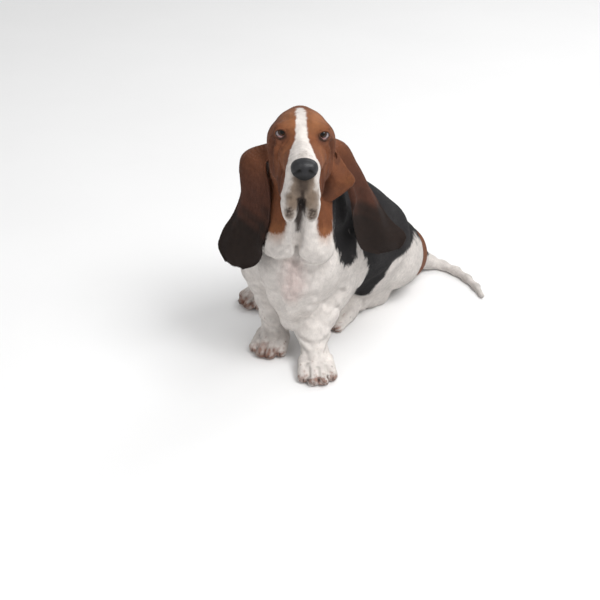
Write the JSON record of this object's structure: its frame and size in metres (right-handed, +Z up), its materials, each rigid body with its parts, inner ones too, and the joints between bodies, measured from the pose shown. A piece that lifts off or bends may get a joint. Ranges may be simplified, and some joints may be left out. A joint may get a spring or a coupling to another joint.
{
  "type": "basset hound",
  "caption": "Life-size still model of a sitting tricolour basset hound with long hanging ears, deep dewlap and short legs.",
  "frame": {"origin": "middle of the box round the dog, on the floor", "axes": "+Z up; the chest and face look along -Y and the dog's left side is +X"},
  "size_m": [0.5528, 0.6202, 0.5485],
  "materials": {
    "white_coat": "short white fur",
    "tan_coat": "short red-brown fur",
    "dark_coat": "short black and white fur",
    "eye": "wet, glossy, brown",
    "nose_leather": "moist, finely pebbled, black"
  },
  "bodies": {
    "root": {"head": "tan_coat", "neck": "white_coat", "torso": "dark_coat", "fore_leg_left": "white_coat", "fore_leg_right": "white_coat", "hind_leg_left": "white_coat", "hind_leg_right": "white_coat", "tail": "white_coat", "ear_left": "tan_coat", "ear_right": "tan_coat", "eye_left": "eye", "eye_right": "eye", "nose": "nose_leather"}
  },
  "joints": []
}
